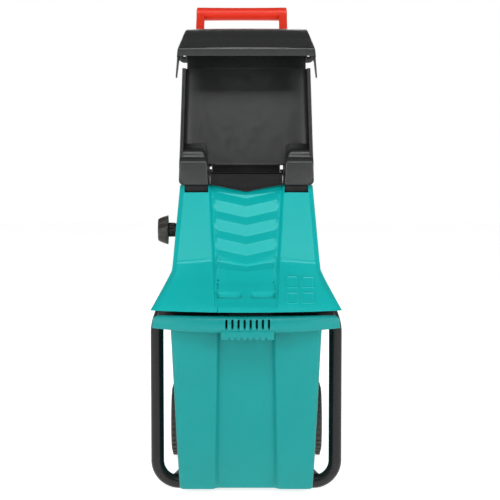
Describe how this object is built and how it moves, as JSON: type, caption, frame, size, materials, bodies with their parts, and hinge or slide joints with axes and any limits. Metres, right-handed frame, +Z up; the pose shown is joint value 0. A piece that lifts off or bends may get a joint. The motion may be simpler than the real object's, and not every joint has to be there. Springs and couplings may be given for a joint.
{
  "type": "garden shredder",
  "caption": "Electric drum garden shredder: front feed hopper with hood, moulded housing, tubular frame on wheels, pull-out collection bin, carrying handle and plate adjusting knob.",
  "frame": {"origin": "on the ground, under the middle of the whole machine's bounding box", "axes": "+X to the right as the operator faces the hopper, +Y to the back, +Z up"},
  "size_m": [0.456, 0.624, 1.167],
  "materials": {
    "black_plastic": "grained",
    "teal_plastic": "satin",
    "bin_plastic": "grained",
    "dark_plastic": "grained",
    "red_plastic": "satin",
    "green_plastic": "satin",
    "black_enamel": "satin",
    "bright_steel": "brushed",
    "hard_steel": "ground",
    "casting": "cast",
    "laminations": "oiled",
    "tyre_rubber": "matte"
  },
  "bodies": {
    "machine": {"front_leg": "black_enamel", "side_rail_left": "black_enamel", "side_rail_right": "black_enamel", "axle_brackets": "black_enamel", "base_plate": "black_enamel", "frame_bolts": "bright_steel", "axle": "bright_steel", "axle_spacers": "dark_plastic", "axle_caps": "dark_plastic", "front_cover": "teal_plastic", "rear_cover": "teal_plastic", "cover_screws": "bright_steel", "cover_brackets": "bright_steel", "hopper": "black_plastic", "hopper_socket_left": "dark_plastic", "hopper_socket_right": "dark_plastic", "inlet_chute": "black_plastic", "hood": "black_plastic", "hood_brackets": "black_plastic", "carry_handle": "red_plastic", "handle_screws": "bright_steel", "cutting_chamber": "casting", "discharge_duct": "casting", "drum_bearings": "hard_steel", "screw_bush": "dark_plastic", "gear_case": "casting", "gear_case_lid": "casting", "motor_can": "black_enamel", "motor_stator": "laminations", "motor_end_bell": "casting", "motor_cradle": "dark_plastic", "run_capacitor": "dark_plastic", "switch_panel": "dark_plastic", "control_box": "dark_plastic", "power_inlet": "dark_plastic"},
    "wheel_left": {"wheel_rim_left": "dark_plastic", "tyre_left": "tyre_rubber"},
    "wheel_right": {"wheel_rim_right": "dark_plastic", "tyre_right": "tyre_rubber"},
    "collection_bin": {"bin_tub": "bin_plastic", "bin_trim": "bin_plastic"},
    "knob_and_screw": {"adjusting_knob": "dark_plastic", "adjusting_screw": "bright_steel"},
    "pressure_plate": {"pressure_plate": "casting"},
    "drum": {"cutting_drum": "hard_steel", "drum_shaft": "hard_steel", "drum_gear": "hard_steel"},
    "lay_shaft": {"lay_shaft": "hard_steel", "lay_pinion": "hard_steel", "lay_gear": "hard_steel"},
    "rotor": {"motor_rotor": "laminations", "motor_shaft": "hard_steel", "motor_pinion": "hard_steel", "cooling_fan": "dark_plastic"},
    "start_button": {"start_button": "green_plastic"},
    "stop_button": {"stop_button": "red_plastic"},
    "reset_button": {"reset_button": "red_plastic"},
    "direction_switch": {"direction_switch": "red_plastic"}
  },
  "joints": [
    {"name": "wheel_left_spin", "type": "hinge", "parent": "machine", "child": "wheel_left", "pos_m": [-0.1725, 0.217, 0.095], "axis": [1, 0, 0], "continuous": true},
    {"name": "wheel_right_spin", "type": "hinge", "parent": "machine", "child": "wheel_right", "pos_m": [0.1725, 0.217, 0.095], "axis": [1, 0, 0], "continuous": true},
    {"name": "bin_slide", "type": "slide", "parent": "machine", "child": "collection_bin", "axis": [0, -1, 0], "range_m": [0, 0.46]},
    {"name": "knob_turn", "type": "hinge", "parent": "machine", "child": "knob_and_screw", "pos_m": [-0.2055, -0.011, 0.6075], "axis": [1, 0, 0], "range_deg": [-576, 1008]},
    {"name": "plate_feed", "type": "slide", "parent": "machine", "child": "pressure_plate", "axis": [1, 0, 0], "range_m": [-0.002, 0.0035]},
    {"name": "drum_spin", "type": "hinge", "parent": "machine", "child": "drum", "pos_m": [0.022, 0, 0.59], "axis": [0, 1, 0], "continuous": true},
    {"name": "lay_shaft_spin", "type": "hinge", "parent": "machine", "child": "lay_shaft", "pos_m": [-0.02213, 0, 0.53122], "axis": [0, 1, 0], "continuous": true},
    {"name": "rotor_spin", "type": "hinge", "parent": "machine", "child": "rotor", "pos_m": [0.02858, 0, 0.51764], "axis": [0, 1, 0], "continuous": true},
    {"name": "start_press", "type": "slide", "parent": "machine", "child": "start_button", "axis": [0, -1, 0], "range_m": [0, 0.003], "stiffness_N_per_m": 600},
    {"name": "stop_press", "type": "slide", "parent": "machine", "child": "stop_button", "axis": [0, -1, 0], "range_m": [0, 0.003], "stiffness_N_per_m": 600},
    {"name": "reset_press", "type": "slide", "parent": "machine", "child": "reset_button", "axis": [0, -1, 0], "range_m": [0, 0.0015], "stiffness_N_per_m": 600},
    {"name": "direction_turn", "type": "hinge", "parent": "machine", "child": "direction_switch", "pos_m": [-0.054, 0.245, 0.511], "axis": [0, 1, 0], "range_deg": [-45, 45]}
  ],
  "couplings": [
    {"joint": "plate_feed", "follows": "knob_turn", "m_per_rad": 0.00019894},
    {"joint": "lay_shaft_spin", "follows": "drum_spin", "ratio": -6},
    {"joint": "rotor_spin", "follows": "drum_spin", "ratio": 36}
  ]
}
